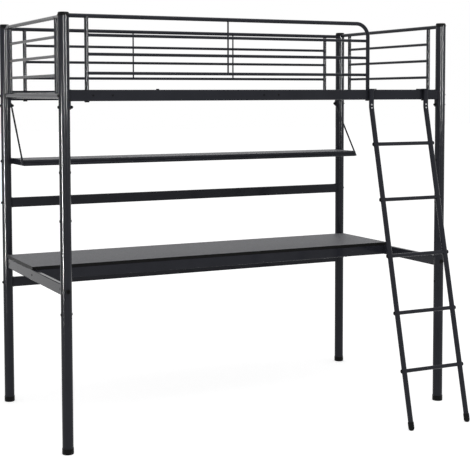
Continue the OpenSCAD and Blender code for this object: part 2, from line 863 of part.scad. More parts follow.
// Bolts through the side rails into the ends of the desk's beams
module desk_beam_bolts() {
    head_x = post_x + stretcher_t / 2;
    color(plastic) for (sx = sides, y = [beam_front_y, beam_back_y]) translate([sx * head_x, y, beam_mid_z])
        face_x(sx) {
            dome_head(bolt_head_d - 3, bolt_cover_t);
            translate([0, 0, -beam_bolt_l]) cylinder(h = beam_bolt_l, d = bolt_d);
        }
}

module desk_nuts() {
    hex_d = nut_w / cos(30);
    color(steel) {
        for (sx = sides, y = [beam_front_y, beam_back_y])
            translate([sx * (beam_end_x - tube_wall), y, beam_mid_z]) face_x(-sx) difference() {
                cylinder(h = nut_h, d = hex_d, $fn = 6);
                translate([0, 0, -over]) cylinder(h = nut_h + 2 * over, d = bolt_hole_d);
            }
        for (sx = sides, sy = sides) translate([sx * post_x, mid_y + sy * post_span_y / 2, beam_mid_z])
            face_y(-sy) rotate([0, 0, 90]) seated_nut(post_r, nut_h);
    }
}

// ----------------------------------------------------------------- ladder

stringer_xs = [guard_end_x + ladder_shift, guard_end_x + ladder_shift + ladder_w];
rung_pitch = (bend_z - rung_drop - rung_first) / (rung_n - 1);
rung_zs = [for (k = [0:rung_n - 1]) rung_first + k * rung_pitch];

function lean_y(z) = stringer_y - (bend_z - z) * tan(tilt);

// One stringer from its foot, leaning to the mitred knee and then upright to its top,
// longer at both ends where it cuts
module stringer_path(d, extra = 0) {
    intersection() {
        translate([0, stringer_y, bend_z - d]) cylinder(h = rail_top + fit + extra - bend_z + d, d = d);
        knee_side(1);
    }
    intersection() {
        translate([0, lean_y(foot_cap_z), foot_cap_z]) rotate([-tilt, 0, 0]) translate([0, 0, -extra])
            cylinder(h = (bend_z - foot_cap_z) / cos(tilt) + extra + d, d = d);
        knee_side(-1);
    }
}

// All that lies on one side of the plane through the knee's mitre
module knee_side(side) {
    translate([0, stringer_y, bend_z]) rotate([-tilt / 2, 0, 0]) translate([0, 0, side * bed_h])
        cube(2 * bed_h, center = true);
}

module ladder_stringers() {
    color(steel) for (x = stringer_xs) translate([x, 0, 0]) difference() {
        stringer_path(stringer_d);
        stringer_path(stringer_d - 2 * tube_wall, over);
        for (z = rung_zs) translate([0, lean_y(z), z]) turn_x()
            cylinder(h = stringer_d + 2 * over, d = rung_d, center = true);
    }
}

rung_mid_x = (stringer_xs[0] + stringer_xs[1]) / 2;
rung_l = ladder_w + stringer_d + 2 * rung_over;

module ladder_rungs() {
    color(steel) for (z = rung_zs) translate([rung_mid_x, lean_y(z), z]) turn_x() pipe_z(rung_l, rung_d);
}

// Rounded plugs in the ends of the rungs
module ladder_rung_caps() {
    stem_h = 10;
    color(plastic) for (z = rung_zs, sx = sides)
        translate([rung_mid_x + sx * rung_l / 2, lean_y(z), z]) face_x(sx) {
            dome_head(rung_d, rung_cap_h);
            translate([0, 0, -stem_h]) cylinder(h = stem_h, d = rung_d - 2 * tube_wall - 2 * slip);
        }
}

// Plates on the stringers' tops that reach over the front rail and down behind it
module ladder_hooks() {
    hook_z = rail_top + fit;
    behind_y = front_y + rail_t / 2 + fit;
    color(steel) for (k = [0, 1]) translate([stringer_xs[k], 0, hook_z]) mirror([k, 0, 0]) {
        translate([0, stringer_y, 0]) cylinder(h = hook_t, d = stringer_d);
        translate([0, stringer_y - hook_pad / 2, 0]) cube([hook_inset + hook_w, hook_pad, hook_t]);
        translate([hook_inset, stringer_y, 0]) cube([hook_w, behind_y + hook_t - stringer_y, hook_t]);
        translate([hook_inset, behind_y, -hook_drop]) cube([hook_w, hook_t, hook_drop + hook_t]);
    }
}

module ladder_feet() {
    color(plastic) for (x = stringer_xs) translate([x, 0, 0]) difference() {
        translate([0, lean_y(foot_cap_z), foot_cap_z]) {
            sphere(r = foot_cap_r);
            rotate([-tilt, 0, 0]) cylinder(h = foot_cap_h, r = foot_cap_r);
        }
        stringer_path(stringer_d);
        translate([0, lean_y(0), -foot_cap_r]) cube(2 * foot_cap_r, center = true);
    }
}

lower_post_front_left();
lower_post_front_right();
lower_post_back_left();
lower_post_back_right();
upper_post_front_left();
upper_post_front_right();
upper_post_back_left();
upper_post_back_right();
post_sleeves();
post_feet();
post_caps();
end_top_tube_left();
end_top_tube_right();
end_foot_tubes();
end_uprights();
end_bars_left();
end_bars_right();
front_rail();
back_rail();
rail_saddles();
front_guard_tube();
front_guard_upright();
front_guard_bars();
front_guard_rod();
back_guard_tube();
back_guard_uprights();
back_guard_bars();
back_guard_rods();
guard_end_plugs();
rail_hole_plugs();
rail_rivets();
slat_ledges();
slats();
upper_back_stretcher();
lower_back_stretcher();
stretcher_saddles();
desk_side_rails();
desk_front_beam();
desk_back_beam();
desk_board();
desk_screws();
desk_beam_bolts();
desk_rail_bolts();
desk_nuts();
shelf_front_rail();
shelf_back_rail();
shelf_bars();
shelf_board();
shelf_hangers();
bed_rail_bolts();
bed_rail_nuts();
post_cap_nuts();
stretcher_bolts();
stretcher_nuts();
post_hole_plugs();
ladder_stringers();
ladder_rungs();
ladder_rung_caps();
ladder_hooks();
ladder_feet();
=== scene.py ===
import json
import math

import bmesh
import bpy
from mathutils import Matrix, Vector


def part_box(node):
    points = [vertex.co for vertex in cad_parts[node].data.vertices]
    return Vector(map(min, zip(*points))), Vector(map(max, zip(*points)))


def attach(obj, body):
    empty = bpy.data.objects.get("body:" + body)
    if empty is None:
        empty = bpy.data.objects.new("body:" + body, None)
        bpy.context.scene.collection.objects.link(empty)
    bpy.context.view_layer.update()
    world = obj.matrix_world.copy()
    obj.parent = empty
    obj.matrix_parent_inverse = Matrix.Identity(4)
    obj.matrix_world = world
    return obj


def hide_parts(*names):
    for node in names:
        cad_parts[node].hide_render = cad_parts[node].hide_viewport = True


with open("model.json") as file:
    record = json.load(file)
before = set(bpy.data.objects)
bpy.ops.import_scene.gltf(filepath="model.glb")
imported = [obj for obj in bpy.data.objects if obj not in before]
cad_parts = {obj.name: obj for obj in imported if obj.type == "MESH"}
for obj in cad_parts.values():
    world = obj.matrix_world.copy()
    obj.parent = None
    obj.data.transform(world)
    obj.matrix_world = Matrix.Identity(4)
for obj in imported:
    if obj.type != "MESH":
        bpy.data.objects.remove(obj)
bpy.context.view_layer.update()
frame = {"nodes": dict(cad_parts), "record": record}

STEEL = "painted_steel"
PLASTIC = "black_plastic"
LAMINATE = "desk_laminate"
ZINC = "zinc_nut"
MM = 0.001
WHITE = (1, 1, 1, 1)
BOTH = (-1, 1)          # the two ends or sides of something


# ---------------------------------------------------------------- materials

NOISE_LOW = 0.3         # noise seldom leaves the band between these two
NOISE_HIGH = 0.7


def new_material(name, metallic, roughness, specular):
    """A Principled material whose constants sit on the shader's own sockets."""
    mat = bpy.data.materials.new(name)
    mat.use_nodes = True
    shader = mat.node_tree.nodes["Principled BSDF"]
    shader.inputs["Metallic"].default_value = metallic
    shader.inputs["Roughness"].default_value = roughness
    shader.inputs["Specular IOR Level"].default_value = specular
    return mat, mat.node_tree, shader


def add_node(tree, kind, **inputs):
    node = tree.nodes.new(kind)
    for key, value in inputs.items():
        node.inputs[key.replace("_", " ")].default_value = value
    return node


def object_noise(tree, scale, detail=2.0, roughness=0.5):
    """Noise on Object coordinates, in metres: scale is features per metre."""
    place = tree.nodes.get("Place") or tree.nodes.new("ShaderNodeTexCoord")
    place.name = "Place"
    noise = add_node(tree, "ShaderNodeTexNoise", Scale=scale, Detail=detail, Roughness=roughness)
    tree.links.new(place.outputs["Object"], noise.inputs["Vector"])
    return noise.outputs["Fac"]


def spread(tree, fac, low, high):
    """Maps noise, which stays near its middle, onto the range from low to high."""
    band = tree.nodes.new("ShaderNodeMapRange")
    band.inputs["From Min"].default_value = NOISE_LOW
    band.inputs["From Max"].default_value = NOISE_HIGH
    band.inputs["To Min"].default_value = low
    band.inputs["To Max"].default_value = high
    tree.links.new(fac, band.inputs["Value"])
    return band.outputs["Result"]


def two_tone(tree, fac, dark, light):
    """Maps noise onto the colours between a dark and a light tone."""
    ramp = tree.nodes.new("ShaderNodeValToRGB")
    ramp.color_ramp.elements[0].position = NOISE_LOW
    ramp.color_ramp.elements[0].color = (*dark, 1)
    ramp.color_ramp.elements[1].position = NOISE_HIGH
    ramp.color_ramp.elements[1].color = (*light, 1)
    tree.links.new(fac, ramp.inputs["Fac"])
    return ramp.outputs["Color"]


def bumped(tree, shader, *layers):
    """Chains bumps, each of a height output and its depth in metres."""
    last = None
    for fac, depth in layers:
        bump = tree.nodes.new("ShaderNodeBump")
        bump.inputs["Strength"].default_value = 1.0
        bump.inputs["Distance"].default_value = depth
        tree.links.new(fac, bump.inputs["Height"])
        if last:
            tree.links.new(last.outputs["Normal"], bump.inputs["Normal"])
        last = bump
    tree.links.new(last.outputs["Normal"], shader.inputs["Normal"])


def powder_coat():
    """Charcoal powder coat: slow drifts of tone and gloss over a fine orange peel."""
    mat, tree, shader = new_material("charcoal_powder_coat", metallic=0.0, roughness=0.17, specular=0.1)
    drift = object_noise(tree, 9.0, 3.0)
    tone = two_tone(tree, drift, (0.0238, 0.0250, 0.0322), (0.0284, 0.0298, 0.0382))
    tree.links.new(tone, shader.inputs["Base Color"])
    gloss = spread(tree, object_noise(tree, 60.0, 4.0), 0.10, 0.15)
    tree.links.new(gloss, shader.inputs["Roughness"])
    fine_peel = (object_noise(tree, 900.0, 2.0), 0.002 * MM)
    broad_peel = (object_noise(tree, 260.0, 1.0), 0.0008 * MM)
    bumped(tree, shader, fine_peel, broad_peel)
    return mat


def moulded_plastic():
    """Black plastic of the feet, caps and plugs: a fine moulded grain, unevenly dull."""
    mat, tree, shader = new_material("black_moulded_plastic", metallic=0.0, roughness=0.45, specular=0.1)
    tone = two_tone(tree, object_noise(tree, 40.0), (0.004, 0.004, 0.0042), (0.007, 0.007, 0.0074))
    tree.links.new(tone, shader.inputs["Base Color"])
    tree.links.new(spread(tree, object_noise(tree, 300.0), 0.4, 0.55), shader.inputs["Roughness"])
    bumped(tree, shader, (object_noise(tree, 1600.0), 0.02 * MM))
    return mat


def board_laminate():
    """Mid grey melamine: fine dark and light specks on an even ground."""
    mat, tree, shader = new_material("grey_melamine", metallic=0.0, roughness=0.55, specular=0.35)
    specks = object_noise(tree, 700.0, 2.0)
    ground = two_tone(tree, specks, (0.103, 0.105, 0.116), (0.153, 0.155, 0.168))
    tree.links.new(ground, shader.inputs["Base Color"])
    tree.links.new(spread(tree, object_noise(tree, 120.0), 0.5, 0.62), shader.inputs["Roughness"])
    bumped(tree, shader, (object_noise(tree, 1400.0), 0.03 * MM))
    return mat


def zinc_plate():
    """Bright zinc with a faint cloudiness."""
    mat, tree, shader = new_material("zinc_plate", metallic=1.0, roughness=0.35, specular=0.5)
    tone = two_tone(tree, object_noise(tree, 200.0), (0.45, 0.46, 0.47), (0.6, 0.6, 0.6))
    tree.links.new(tone, shader.inputs["Base Color"])
    bumped(tree, shader, (object_noise(tree, 800.0), 0.02 * MM))
    return mat


FINISHES = {
    STEEL: powder_coat(),
    PLASTIC: moulded_plastic(),
    LAMINATE: board_laminate(),
    ZINC: zinc_plate(),
}


# --------------------------------------------------- sizes read off the frame

post_low, post_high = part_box("lower_post_front_left")
back_low, back_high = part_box("lower_post_back_right")
end_low, end_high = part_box("end_top_tube_left")
foot_low, foot_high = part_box("end_foot_tubes")
bar_low, bar_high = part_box("end_bars_left")
guard_low, guard_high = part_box("front_guard_tube")
rail_low, rail_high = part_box("front_rail")
rung_low, rung_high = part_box("ladder_rungs")
stringer_low, stringer_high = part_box("ladder_stringers")

FRONT_Y = (post_low.y + post_high.y) / 2
BACK_Y = (back_low.y + back_high.y) / 2
MID_Y = (FRONT_Y + BACK_Y) / 2
POST_X = (back_low.x + back_high.x) / 2
POST_R = (post_high.x - post_low.x) / 2
GUARD_R = (end_high.x - end_low.x) / 2
BAR_R = (bar_high.x - bar_low.x) / 2
END_FOOT_R = (foot_high.z - foot_low.z) / 2
SADDLE_R = POST_R + 4 * MM      # outside of the plates between rails and posts
STRINGER_R = 12 * MM
RUNG_R = 9 * MM
GUARD_BEND_R = 62 * MM          # on the front guard's centre line
KNEE_DROP = 34 * MM             # from the rail's underside to the stringers' knee
LADDER_RUN = 345 * MM           # how far the stringers lean out from knee to floor
BAR_COUNT = 3
RUNG_COUNT = 5


# ------------------------------------------------------------ finished pieces

def slot_of(node):
    return next(p["material_slot"] for p in frame["record"]["subparts"] if p["node"] == node)


def body_of_node(node):
    bodies = frame["record"]["behaviour"]["bodies"]
    return next(body for body, nodes in bodies.items() if node in nodes)


STANDS_FOR = set()      # nodes that a piece has been made for


def finish_piece(name, mesh, body, slot, *replaced):
    """Makes a mesh a piece of a body, in its slot's finish, in place of the nodes it replaces."""
    STANDS_FOR.update(replaced)
    piece = bpy.data.objects.new(name, mesh)
    bpy.context.scene.collection.objects.link(piece)
    mesh.materials.clear()
    mesh.materials.append(FINISHES[slot])
    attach(piece, body)
    if replaced:
        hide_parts(*replaced)
    return piece


SMOOTH_BELOW = math.radians(32)
SAME_POINT = 0.002 * MM


def shade_by_angle(mesh):
    mesh.shade_smooth()
    mesh.set_sharp_from_angle(angle=SMOOTH_BELOW)


def smooth_copy(node):
    """A merged copy of a node, shaded smooth where its faces meet at a small angle."""
    mesh = frame["nodes"][node].data.copy()
    work = bmesh.new()
    work.from_mesh(mesh)
    bmesh.ops.remove_doubles(work, verts=work.verts, dist=SAME_POINT)
    work.to_mesh(mesh)
    work.free()
    mesh.name = node + "_shaded"
    shade_by_angle(mesh)
    finish_piece(node + "_shaded", mesh, body_of_node(node), slot_of(node), node)


# ------------------------------------------------------------ geometry trees

def new_tree(name, *sockets):
    """A geometry tree with named inputs, the first its geometry and the last its finish."""
    tree = bpy.data.node_groups.new(name, "GeometryNodeTree")
    tree.interface.new_socket("Geometry", in_out="OUTPUT", socket_type="NodeSocketGeometry")
    for label, kind in (("Geometry", "Geometry"), *sockets, ("Finish", "Material")):
        tree.interface.new_socket(label, in_out="INPUT", socket_type="NodeSocket" + kind)
    return tree, tree.nodes.new("NodeGroupInput")


def close_tree(tree, given, geometry):
    """The last steps of every tree: copies made real, then the finish."""
    realize = tree.nodes.new("GeometryNodeRealizeInstances")
    paint = tree.nodes.new("GeometryNodeSetMaterial")
    out = tree.nodes.new("NodeGroupOutput")
    tree.links.new(geometry, realize.inputs["Geometry"])
    tree.links.new(realize.outputs["Geometry"], paint.inputs["Geometry"])
    tree.links.new(given.outputs["Finish"], paint.inputs["Material"])
    tree.links.new(paint.outputs["Geometry"], out.inputs["Geometry"])
    return tree


def sweep_tree():
    """Round section along every line of a mesh, as thick as the line's girth says."""
    tree, given = new_tree("swept_round", ("Sides", "Int"))
    lines = tree.nodes.new("GeometryNodeMeshToCurve")
    girth = add_node(tree, "GeometryNodeInputNamedAttribute", Name="girth")
    section = add_node(tree, "GeometryNodeCurvePrimitiveCircle", Radius=1.0)
    sweep = tree.nodes.new("GeometryNodeCurveToMesh")
    sweep.inputs["Fill Caps"].default_value = True
    tree.links.new(given.outputs["Geometry"], lines.inputs["Mesh"])
    tree.links.new(given.outputs["Sides"], section.inputs["Resolution"])
    tree.links.new(lines.outputs["Curve"], sweep.inputs["Curve"])
    tree.links.new(section.outputs["Curve"], sweep.inputs["Profile Curve"])
    tree.links.new(girth.outputs["Attribute"], sweep.inputs["Scale"])
    return close_tree(tree, given, sweep.outputs["Mesh"])


def copies_tree():
    """A pattern piece at every point of a mesh, its +Z turned the way the point faces."""
    tree, given = new_tree("placed_copies", ("Pattern", "Object"))
    pattern = tree.nodes.new("GeometryNodeObjectInfo")
    facing = add_node(tree, "GeometryNodeInputNamedAttribute", Name="facing")
    facing.data_type = "FLOAT_VECTOR"
    turn = tree.nodes.new("FunctionNodeAlignRotationToVector")
    turn.axis = "Z"
    place = tree.nodes.new("GeometryNodeInstanceOnPoints")
    tree.links.new(given.outputs["Pattern"], pattern.inputs["Object"])
    way = next(out for out in facing.outputs if out.name == "Attribute" and out.enabled)
    tree.links.new(way, turn.inputs["Vector"])
    tree.links.new(given.outputs["Geometry"], place.inputs["Points"])
    tree.links.new(pattern.outputs["Geometry"], place.inputs["Instance"])
    tree.links.new(turn.outputs["Rotation"], place.inputs["Rotation"])
    return close_tree(tree, given, place.outputs["Instances"])


def row_tree():
    """A row of copies of a mesh, one pitch apart along X."""
    tree, given = new_tree("row_along_bed", ("Count", "Int"), ("Pitch", "Float"))
    step = tree.nodes.new("ShaderNodeCombineXYZ")
    row = tree.nodes.new("GeometryNodeMeshLine")
    place = tree.nodes.new("GeometryNodeInstanceOnPoints")
    tree.links.new(given.outputs["Pitch"], step.inputs["X"])
    tree.links.new(given.outputs["Count"], row.inputs["Count"])
    tree.links.new(step.outputs["Vector"], row.inputs["Offset"])
    tree.links.new(row.outputs["Mesh"], place.inputs["Points"])
    tree.links.new(given.outputs["Geometry"], place.inputs["Instance"])
    return close_tree(tree, given, place.outputs["Instances"])


SWEEP = sweep_tree()
COPIES = copies_tree()
ROW = row_tree()


def grow(name, seed_mesh, tree, slot, sizes):
    """Runs a geometry tree on a mesh and keeps the result as a plain mesh."""
    seed = bpy.data.objects.new(name + "_seed", seed_mesh)
    bpy.context.scene.collection.objects.link(seed)
    run = seed.modifiers.new("grow", "NODES")
    run.node_group = tree
    for socket in tree.interface.items_tree:
        if socket.in_out == "INPUT" and socket.name in sizes:
            run[socket.identifier] = sizes[socket.name]
        if socket.in_out == "INPUT" and socket.name == "Finish":
            run[socket.identifier] = FINISHES[slot]
    mesh = bpy.data.meshes.new_from_object(seed.evaluated_get(bpy.context.evaluated_depsgraph_get()))
    seed.modifiers.remove(run)
    bpy.data.objects.remove(seed)
    mesh.name = name
    work = bmesh.new()
    work.from_mesh(mesh)
    bmesh.ops.recalc_face_normals(work, faces=work.faces)
    work.to_mesh(mesh)
    work.free()
    shade_by_angle(mesh)
    return mesh


# ------------------------------------------------------------- round tubes

X, Y, Z = range(3)
TUBE_SIDES = 32
POST_SIDES = 96
STRINGER_SIDES = 48
TUBE_EASE = 0.6 * MM    # how much a tube's cut ends are rounded


def line_mesh(name, lines):
    """Lines of points with a girth at each, as one mesh; a closed line ends where it starts."""
    points = []
    girths = []
    edges = []
    for places, thickness, closed in lines:
        first = len(points)
        points += [tuple(p) for p in places]
        girths += thickness
        edges += [(first + k, first + k + 1) for k in range(len(places) - 1)]
        if closed:
            edges.append((len(points) - 1, first))
    mesh = bpy.data.meshes.new(name)
    mesh.from_pydata(points, edges, [])
    mesh.attributes.new("girth", "FLOAT", "POINT").data.foreach_set("value", girths)
    return mesh


def tube_line(places, radius):
    """A tube's centre line and girths, a little thinner at the very ends, and that it isn't closed."""
    start = (places[1] - places[0]).normalized() * TUBE_EASE
    stop = (places[-1] - places[-2]).normalized() * TUBE_EASE
    line = [places[0], places[0] + start, *places[1:-1], places[-1] - stop, places[-1]]
    eased = radius - TUBE_EASE
    return line, [eased] + [radius] * (len(line) - 2) + [eased], False


def centres(low, high, radius, count):
    """Centre lines evenly across a box that the outer tubes touch."""
    if count == 1:
        return [(low + high) / 2]
    reach = high - low - 2 * radius
    return [low + radius + reach * k / (count - 1) for k in range(count)]


def straight_tubes(node, axis, counts, radius):
    """The tubes of a node, which all run along one axis from end to end of its box."""
    low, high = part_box(node)
    u, v = [k for k in range(3) if k != axis]
    lines = []
    for a in centres(low[u], high[u], radius, counts[u]):
        for b in centres(low[v], high[v], radius, counts[v]):
            start = low.copy()
            start[u], start[v] = a, b
            stop = start.copy()
            stop[axis] = high[axis]
            lines.append(tube_line([start, stop], radius))
    return lines


def tube_piece(node, lines, sides=TUBE_SIDES):
    """Stands for a node of round tubes."""
    mesh = grow(node + "_tube", line_mesh(node, lines), SWEEP, slot_of(node), {"Sides": sides})
    return finish_piece(node + "_tube", mesh, body_of_node(node), slot_of(node), node)


def half_depth(node, axis):
    low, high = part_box(node)
    return (high[axis] - low[axis]) / 2


ONE = (1, 1, 1)
PAIR = (2, 1, 1)
BARS = (1, 1, BAR_COUNT)
STRAIGHT = {            # which way the tubes run, how many along each axis, and their radius
    "end_top_tube_left": (Y, ONE, GUARD_R),
    "end_top_tube_right": (Y, ONE, GUARD_R),
    "end_foot_tubes": (Y, PAIR, END_FOOT_R),
    "end_uprights": (Z, (2, 2, 1), GUARD_R),
    "end_bars_left": (Y, BARS, BAR_R),
    "end_bars_right": (Y, BARS, BAR_R),
    "front_guard_upright": (Z, ONE, GUARD_R),
    "front_guard_bars": (X, BARS, BAR_R),
    "front_guard_rod": (Z, ONE, half_depth("front_guard_rod", Y)),
    "back_guard_tube": (X, ONE, GUARD_R),
    "back_guard_uprights": (Z, PAIR, GUARD_R),
    "back_guard_bars": (X, BARS, BAR_R),
    "back_guard_rods": (Z, PAIR, half_depth("back_guard_rods", Y)),
}
for post in (f"{part}_post_{row}_{side}" for part in ("lower", "upper")
             for row in ("front", "back") for side in ("left", "right")):
    STRAIGHT[post] = (Z, ONE, POST_R)

UPRIGHTS = bpy.data.collections.new("uprights")
LEFT_UPRIGHTS = bpy.data.collections.new("left_uprights")
UPRIGHT_NODES = ("lower_post", "upper_post", "end_uprights", "front_guard_upright", "back_guard_uprights")
LEFT_END = bpy.data.collections.new("left_end")
LEFT_END_NODES = ("end_top_tube_left", "end_bars_left", "end_foot_tubes", "desk_side_rails")


def lit_by_end_lamps(piece, node):
    """Notes which of the studio's lamps show on a piece."""
    if node.startswith(UPRIGHT_NODES):
        UPRIGHTS.objects.link(piece)
        if not node.endswith("_right"):
            LEFT_UPRIGHTS.objects.link(piece)
    if node in LEFT_END_NODES:
        LEFT_END.objects.link(piece)


for tube_node, (along, counts, radius) in STRAIGHT.items():
    sides = POST_SIDES if radius == POST_R else TUBE_SIDES
    made = tube_piece(tube_node, straight_tubes(tube_node, along, counts, radius), sides)
    lit_by_end_lamps(made, tube_node)


def bent_guard():
    """From the left post along the top, round the bend and down into the rail."""
    end_x = guard_high.x - GUARD_R
    top_z = guard_high.z - GUARD_R
    bend_x = end_x - GUARD_BEND_R
    bend_z = top_z - GUARD_BEND_R
    steps = 14
    bend = []
    for k in range(steps + 1):
        turn = math.pi / 2 * k / steps
        bend.append(Vector((bend_x + GUARD_BEND_R * math.sin(turn), FRONT_Y,
                            bend_z + GUARD_BEND_R * math.cos(turn))))
    return [Vector((guard_low.x, FRONT_Y, top_z)), *bend, Vector((end_x, FRONT_Y, guard_low.z))]


tube_piece("front_guard_tube", [tube_line(bent_guard(), GUARD_R)])

# Stringers: upright above the knee, leaning out below it
KNEE_Z = rail_low.z - KNEE_DROP
LEAN = LADDER_RUN / KNEE_Z
STRINGER_Y = stringer_high.y - STRINGER_R
STRINGER_XS = (stringer_low.x + STRINGER_R, stringer_high.x - STRINGER_R)
DOWN_STRINGER = Vector((0, -LEAN, -1)).normalized()


def lean_y(z):
    return STRINGER_Y - (KNEE_Z - z) * LEAN


def stringer(x):
    """Foot, knee eased over a short bend, and top."""
    ease = 6 * MM
    foot_z = stringer_low.z + STRINGER_R * LEAN
    knee = Vector((x, STRINGER_Y, KNEE_Z))
    bend = [knee + DOWN_STRINGER * ease, knee + (DOWN_STRINGER + Vector((0, 0, 1))) * ease / 4,
            knee + Vector((0, 0, ease))]
    return [Vector((x, lean_y(foot_z), foot_z)), *bend, Vector((x, STRINGER_Y, stringer_high.z))]


def rung(z):
    return [Vector((rung_low.x, lean_y(z), z)), Vector((rung_high.x, lean_y(z), z))]


RUNG_ZS = centres(rung_low.z, rung_high.z, RUNG_R, RUNG_COUNT)
tube_piece("ladder_stringers", [tube_line(stringer(x), STRINGER_R) for x in STRINGER_XS], STRINGER_SIDES)
tube_piece("ladder_rungs", [tube_line(rung(z), RUNG_R) for z in RUNG_ZS])


# ------------------------------------------------------------- weld beads

UP = (0, 0, 1)
DOWN = (0, 0, -1)
BACKWARDS = (0, 1, 0)
WELD_R = 1.5 * MM
WELD_SIDES = 6
RIPPLE = 0.2            # how much of its radius a bead swells and shrinks by
RIPPLE_TURN = 2.5       # radians of the ripple from one point of a bead to the next


def round_outline(radius, count=18):
    angles = [2 * math.pi * k / count for k in range(count)]
    return [(radius * math.cos(angle), radius * math.sin(angle)) for angle in angles]


def box_outline(width, height):
    """Corners and side middles of a box section, all the way round."""
    w, h = width / 2, height / 2
    return [(w, -h), (w, 0), (w, h), (0, h), (-w, h), (-w, 0), (-w, -h), (0, -h)]


def bead(centre, along, up, outline, seat_r):
    """A weld all round a tube that meets a round one: seat_r is the round tube's radius."""
    centre, along, up = Vector(centre), Vector(along), Vector(up)
    side = up.cross(along)
    places = []
    for a, b in outline:
        reach = math.sqrt(max(seat_r ** 2 - a ** 2, 0))
        places.append(centre + along * reach + side * a + up * b)
    ripple = [WELD_R * (1 + RIPPLE * math.cos(RIPPLE_TURN * k)) for k in range(len(places))]
    return places, ripple, True


def end_panel_beads(side):
    """Welds of one end panel: tubes to posts, uprights to tubes, bars to uprights."""
    x = side * POST_X
    top_z = end_high.z - GUARD_R
    foot_z = (foot_low.z + foot_high.z) / 2
    upright_y = half_depth("end_uprights", Y) - GUARD_R
    guard = round_outline(GUARD_R)
    beads = []
    for s in BOTH:
        post_y = MID_Y + s * (BACK_Y - MID_Y)
        y = MID_Y + s * upright_y
        inwards = (0, -s, 0)
        beads.append(bead((x, post_y, top_z), inwards, UP, guard, POST_R))
        beads.append(bead((x, post_y, foot_z), inwards, UP, round_outline(END_FOOT_R), POST_R))
        beads.append(bead((x, y, top_z), DOWN, BACKWARDS, guard, GUARD_R))
        beads.append(bead((x, y, foot_z), UP, BACKWARDS, guard, END_FOOT_R))
        for z in centres(bar_low.z, bar_high.z, BAR_R, BAR_COUNT):
            beads.append(bead((x, y, z), inwards, UP, round_outline(BAR_R), GUARD_R))
    return beads


def guard_beads(y, top_z, low_x, high_x, bars, post_sides, joined):
    """Welds of a guard: bars to their uprights, the tube to posts, and joined uprights to the tube."""
    beads = []
    bars_low, bars_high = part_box(bars)
    for z in centres(bars_low.z, bars_high.z, BAR_R, BAR_COUNT):
        beads.append(bead((low_x, y, z), (1, 0, 0), UP, round_outline(BAR_R), GUARD_R))
        beads.append(bead((high_x, y, z), (-1, 0, 0), UP, round_outline(BAR_R), GUARD_R))
    for s in post_sides:
        beads.append(bead((s * POST_X, y, top_z), (-s, 0, 0), UP, round_outline(GUARD_R), POST_R))
    for x in joined:
        beads.append(bead((x, y, top_z), DOWN, (1, 0, 0), round_outline(GUARD_R), GUARD_R))
    return beads


def rail_beads(node, seat_r):
    """Welds at both ends of a box section between two posts."""
    low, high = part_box(node)
    outline = box_outline(high.y - low.y, high.z - low.z)
    middle = (low + high) / 2
    return [bead((s * POST_X, middle.y, middle.z), (-s, 0, 0), UP, outline, seat_r) for s in BOTH]


def side_rail_beads():
    """Welds at both ends of the desk's two side rails."""
    low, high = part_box("desk_side_rails")
    outline = box_outline(2 * (high.x - POST_X), high.z - low.z)
    middle_z = (low.z + high.z) / 2
    beads = []
    for sx in BOTH:
        for sy in BOTH:
            post_y = MID_Y + sy * (BACK_Y - MID_Y)
            beads.append(bead((sx * POST_X, post_y, middle_z), (0, -sy, 0), UP, outline, POST_R))
    return beads


front_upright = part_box("front_guard_upright")
back_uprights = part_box("back_guard_uprights")
FRONT_UPRIGHT_X = (front_upright[0].x + front_upright[1].x) / 2
BACK_UPRIGHT_X = back_uprights[1].x - GUARD_R
back_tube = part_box("back_guard_tube")
frame_beads = end_panel_beads(-1) + end_panel_beads(1) + side_rail_beads()
frame_beads += guard_beads(FRONT_Y, guard_high.z - GUARD_R, FRONT_UPRIGHT_X, guard_high.x - GUARD_R,
                           "front_guard_bars", (-1,), (FRONT_UPRIGHT_X,))
frame_beads += guard_beads(BACK_Y, (back_tube[0].z + back_tube[1].z) / 2, -BACK_UPRIGHT_X, BACK_UPRIGHT_X,
                           "back_guard_bars", (-1, 1), (-BACK_UPRIGHT_X, BACK_UPRIGHT_X))
for box_node in ("front_rail", "back_rail", "upper_back_stretcher", "lower_back_stretcher"):
    frame_beads += rail_beads(box_node, SADDLE_R)
frame_beads += rail_beads("shelf_back_rail", POST_R)
rung_beads = [bead((x, lean_y(z), z), (s, 0, 0), DOWN_STRINGER, round_outline(RUNG_R), STRINGER_R)
              for z in RUNG_ZS for x in STRINGER_XS for s in BOTH]
for welds, body, lines in (("frame_welds", "frame", frame_beads), ("ladder_welds", "ladder", rung_beads)):
    weld_mesh = grow(welds, line_mesh(welds, lines), SWEEP, STEEL, {"Sides": WELD_SIDES})
    finish_piece(welds, weld_mesh, body, STEEL)


# ----------------------------------------------------------- box sections

def rolled_box(work, low, high, radius, all_edges=False):
    """A box whose long edges, or all its edges, are rounded."""
    size = high - low
    made = bmesh.ops.create_cube(work, size=1.0)["verts"]
    for vert in made:
        vert.co = Vector([(low[k] + high[k]) / 2 + vert.co[k] * size[k] for k in range(3)])
    longest = max(range(3), key=lambda k: size[k])
    edges = {edge for vert in made for edge in vert.link_edges}
    if not all_edges:
        edges = {e for e in edges if abs(e.verts[0].co[longest] - e.verts[1].co[longest]) > radius}
    quarter_round = 0.5
    bmesh.ops.bevel(work, geom=list(edges), offset=radius, segments=4, profile=quarter_round, affect="EDGES")


def box_piece(node, radius, boxes=None, all_edges=False):
    """Stands for a node of box sections with rounded edges."""
    work = bmesh.new()
    for low, high in boxes or [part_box(node)]:
        rolled_box(work, low, high, radius, all_edges)
    narrow = 2 * radius
    for face in work.faces:
        face.smooth = min(edge.calc_length() for edge in face.edges) < narrow
    mesh = bpy.data.meshes.new(node + "_section")
    work.to_mesh(mesh)
    work.free()
    piece = finish_piece(node + "_section", mesh, body_of_node(node), slot_of(node), node)
    lit_by_end_lamps(piece, node)


